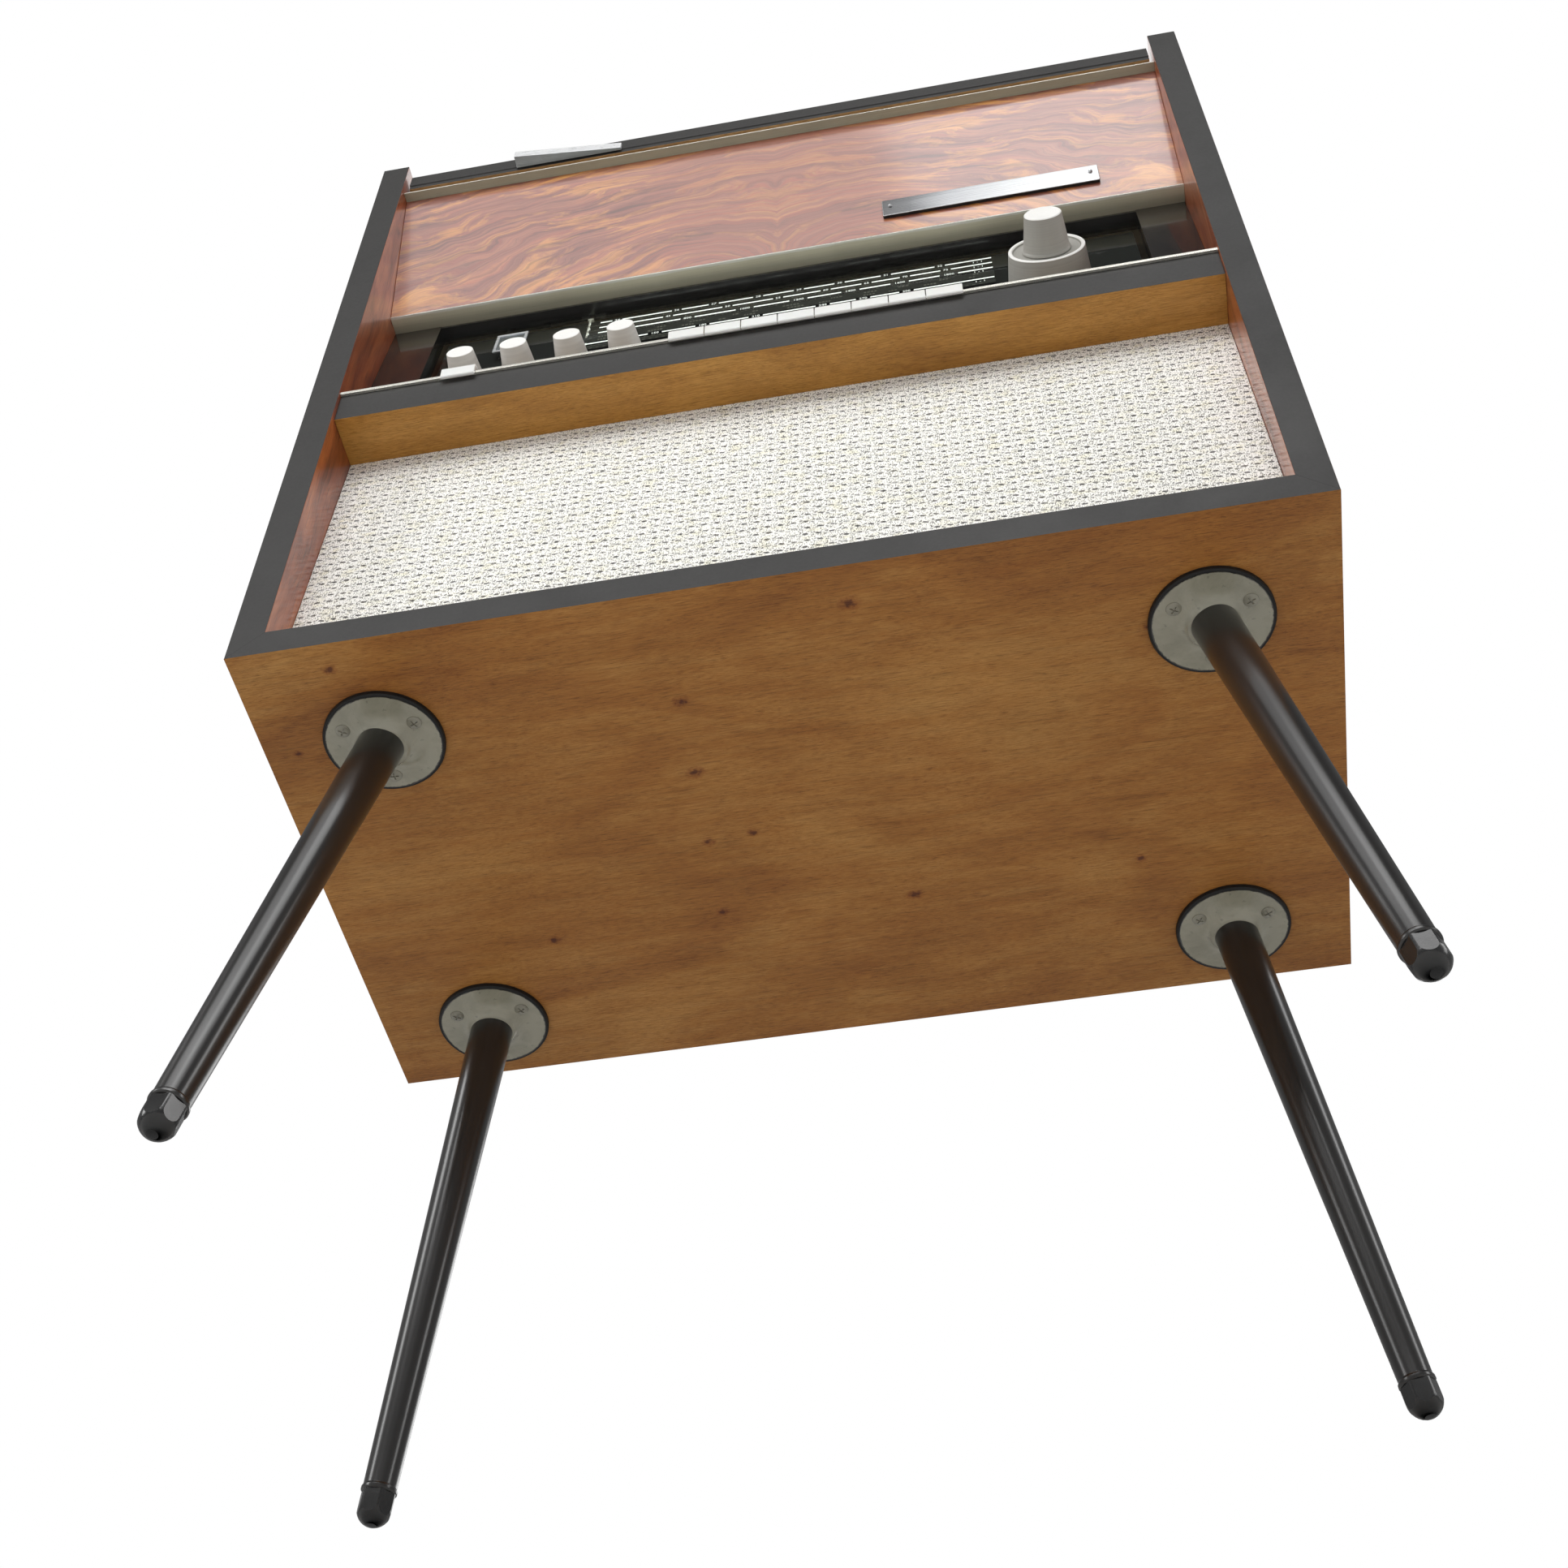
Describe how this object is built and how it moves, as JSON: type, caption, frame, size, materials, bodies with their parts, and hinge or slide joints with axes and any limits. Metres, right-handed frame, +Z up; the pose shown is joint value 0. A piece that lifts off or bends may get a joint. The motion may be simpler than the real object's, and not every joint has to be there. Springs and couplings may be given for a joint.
{
  "type": "radio phonograph console",
  "caption": "Upright wooden console on splayed tapered legs with a hinged lid over a record deck, a slanted veneered front, a recessed dial with knobs and push keys, and a cloth speaker grille.",
  "frame": {"origin": "on the floor under the middle of the overall width and depth", "axes": "+Z up, +X to the right seen from the front, the front faces -Y"},
  "size_m": [0.65, 0.3896, 1.0192],
  "materials": {
    "rosewood": "glossy clear lacquer over figured veneer",
    "plywood": "satin stained plywood",
    "deck_wood": "satin cream paint on board",
    "lid_wood": "glossy lacquer, grey painted front edge",
    "hardboard": "matt pressed hardboard",
    "nickel_trim": "satin champagne anodised strip with bright edge",
    "handle_metal": "fine ribbed satin aluminium",
    "black_gloss": "polished black",
    "dial_glass": "polished dark glass with pale printed scale lines",
    "scale_print": "satin black plate with pale scale lines",
    "pointer": "satin red needle",
    "bezel": "satin silver",
    "grille_cloth": "woven cream cloth with dark and gold flecks",
    "baffle": "matt dark board",
    "steel": "zinc plated sheet",
    "speaker_paint": "hammered dark paint",
    "cone_paper": "pressed paper cone",
    "valve_glass": "clear glass envelopes",
    "core": "varnished core laminations",
    "knob": "satin warm white with paler flat tip",
    "key": "polished ivory white",
    "pot": "plated cans",
    "platter": "turned rim",
    "mat": "ribbed rubber",
    "idler": "rubber tyred wheel",
    "motor": "painted motor frame",
    "brass": "turned brass",
    "arm_plastic": "ivory arm with dark cartridge",
    "lever": "ivory moulded",
    "leg_black": "gloss black enamel",
    "flange_cream": "gloss warm grey enamel with black rim",
    "glide": "moulded black",
    "screw": "painted-over cross slot heads"
  },
  "bodies": {
    "cabinet": {"side_panel_left": "rosewood", "side_panel_right": "rosewood", "bottom_board": "plywood", "middle_shelf": "plywood", "deck_board": "deck_wood", "rear_rail": "plywood", "back_cover": "hardboard", "top_trim": "nickel_trim", "upper_front_panel": "rosewood", "nameplate": "black_gloss", "mid_trim": "nickel_trim", "shelf_trim": "nickel_trim", "speaker_baffle": "baffle", "grille_cloth": "grille_cloth", "speaker_baskets": "speaker_paint", "speaker_cones": "cone_paper", "dial_surround": "black_gloss", "dial_glass": "dial_glass", "dial_scale_plate": "scale_print", "eye_bezel": "bezel", "radio_chassis": "steel", "valves": "valve_glass", "power_transformer": "core", "tuning_capacitor": "steel", "control_pots": "pot", "key_switch_frame": "steel", "key_pivot_rod": "steel", "motor": "motor", "hinge_leaf_cabinet": "brass", "legs": "leg_black", "leg_flanges": "flange_cream", "leg_glides": "glide", "flange_screws": "screw"},
    "control_knob_1": {"control_knob_1": "knob"},
    "control_knob_2": {"control_knob_2": "knob"},
    "control_knob_3": {"control_knob_3": "knob"},
    "control_knob_4": {"control_knob_4": "knob"},
    "tuning_ring": {"tuning_ring": "knob"},
    "tuning_knob": {"tuning_knob": "knob"},
    "dial_pointer": {"dial_pointer": "pointer"},
    "capacitor_rotor": {"capacitor_rotor": "steel"},
    "key_power": {"key_power": "key"},
    "key_1": {"key_1": "key"},
    "key_2": {"key_2": "key"},
    "key_3": {"key_3": "key"},
    "key_4": {"key_4": "key"},
    "key_5": {"key_5": "key"},
    "key_6": {"key_6": "key"},
    "key_7": {"key_7": "key"},
    "key_8": {"key_8": "key"},
    "platter": {"platter": "platter", "platter_mat": "mat"},
    "idler": {"idler_wheel": "idler"},
    "pulley": {"motor_pulley": "brass"},
    "tonearm_post": {"tonearm_post": "handle_metal"},
    "tonearm": {"tonearm": "arm_plastic"},
    "speed_lever": {"speed_lever": "lever"},
    "lid": {"lid": "lid_wood", "lid_handle": "handle_metal", "hinge_leaf_lid": "brass"}
  },
  "joints": [
    {"name": "control_knob_1_turn", "type": "hinge", "parent": "cabinet", "child": "control_knob_1", "pos_m": [-0.2264, -0.15293, 0.7], "axis": [0, -0.9919, 0.127], "range_deg": [0, 270]},
    {"name": "control_knob_2_turn", "type": "hinge", "parent": "cabinet", "child": "control_knob_2", "pos_m": [-0.1873, -0.15293, 0.7], "axis": [0, -0.9919, 0.127], "range_deg": [-135, 135]},
    {"name": "control_knob_3_turn", "type": "hinge", "parent": "cabinet", "child": "control_knob_3", "pos_m": [-0.1482, -0.15293, 0.7], "axis": [0, -0.9919, 0.127], "range_deg": [-135, 135]},
    {"name": "control_knob_4_turn", "type": "hinge", "parent": "cabinet", "child": "control_knob_4", "pos_m": [-0.1091, -0.15293, 0.7], "axis": [0, -0.9919, 0.127], "range_deg": [-135, 135]},
    {"name": "tuning_ring_turn", "type": "hinge", "parent": "cabinet", "child": "tuning_ring", "pos_m": [0.1947, -0.1496, 0.726], "axis": [0, -0.9919, 0.127], "range_deg": [-160, 160]},
    {"name": "tuning_knob_turn", "type": "hinge", "parent": "cabinet", "child": "tuning_knob", "pos_m": [0.1947, -0.1496, 0.726], "axis": [0, -0.9919, 0.127], "range_deg": [0, 1909]},
    {"name": "pointer_slide", "type": "slide", "parent": "cabinet", "child": "dial_pointer", "axis": [1, 0, 0], "range_m": [0, 0.3]},
    {"name": "capacitor_turn", "type": "hinge", "parent": "cabinet", "child": "capacitor_rotor", "pos_m": [0, 0.0423, 0.731], "axis": [1, 0, 0], "range_deg": [0, 180]},
    {"name": "key_power_press", "type": "hinge", "parent": "cabinet", "child": "key_power", "pos_m": [0, -0.0757, 0.659], "axis": [1, 0, 0], "range_deg": [0, 2]},
    {"name": "key_1_press", "type": "hinge", "parent": "cabinet", "child": "key_1", "pos_m": [0, -0.0757, 0.659], "axis": [1, 0, 0], "range_deg": [0, 2]},
    {"name": "key_2_press", "type": "hinge", "parent": "cabinet", "child": "key_2", "pos_m": [0, -0.0757, 0.659], "axis": [1, 0, 0], "range_deg": [0, 2]},
    {"name": "key_3_press", "type": "hinge", "parent": "cabinet", "child": "key_3", "pos_m": [0, -0.0757, 0.659], "axis": [1, 0, 0], "range_deg": [0, 2]},
    {"name": "key_4_press", "type": "hinge", "parent": "cabinet", "child": "key_4", "pos_m": [0, -0.0757, 0.659], "axis": [1, 0, 0], "range_deg": [0, 2]},
    {"name": "key_5_press", "type": "hinge", "parent": "cabinet", "child": "key_5", "pos_m": [0, -0.0757, 0.659], "axis": [1, 0, 0], "range_deg": [0, 2]},
    {"name": "key_6_press", "type": "hinge", "parent": "cabinet", "child": "key_6", "pos_m": [0, -0.0757, 0.659], "axis": [1, 0, 0], "range_deg": [0, 2]},
    {"name": "key_7_press", "type": "hinge", "parent": "cabinet", "child": "key_7", "pos_m": [0, -0.0757, 0.659], "axis": [1, 0, 0], "range_deg": [0, 2]},
    {"name": "key_8_press", "type": "hinge", "parent": "cabinet", "child": "key_8", "pos_m": [0, -0.0757, 0.659], "axis": [1, 0, 0], "range_deg": [0, 2]},
    {"name": "platter_spin", "type": "hinge", "parent": "cabinet", "child": "platter", "pos_m": [-0.06, 0.0123, 0.906], "axis": [0, 0, 1], "continuous": true},
    {"name": "idler_spin", "type": "hinge", "parent": "cabinet", "child": "idler", "pos_m": [0.03392, -0.02189, 0.901], "axis": [0, 0, 1], "continuous": true},
    {"name": "pulley_spin", "type": "hinge", "parent": "cabinet", "child": "pulley", "pos_m": [0.01396, -0.04567, 0.901], "axis": [0, 0, 1], "continuous": true},
    {"name": "tonearm_swing", "type": "hinge", "parent": "cabinet", "child": "tonearm_post", "pos_m": [0.135, 0.0973, 0.906], "axis": [0, 0, -1], "range_deg": [0, 52]},
    {"name": "tonearm_lift", "type": "hinge", "parent": "tonearm_post", "child": "tonearm", "pos_m": [0.135, 0.0973, 0.931], "axis": [-1, 0, 0], "range_deg": [0, 8]},
    {"name": "speed_lever_turn", "type": "hinge", "parent": "cabinet", "child": "speed_lever", "pos_m": [0.215, -0.0677, 0.893], "axis": [0, 0, 1], "range_deg": [-45, 45]},
    {"name": "lid_open", "type": "hinge", "parent": "cabinet", "child": "lid", "pos_m": [0, 0.1705, 1.0101], "axis": [-1, 0, 0], "range_deg": [0, 80]}
  ],
  "couplings": [
    {"joint": "pointer_slide", "follows": "tuning_knob_turn", "m_per_rad": 0.009},
    {"joint": "capacitor_turn", "follows": "tuning_knob_turn", "ratio": 0.0942},
    {"joint": "idler_spin", "follows": "platter_spin", "ratio": 5},
    {"joint": "pulley_spin", "follows": "platter_spin", "ratio": -20.833}
  ]
}
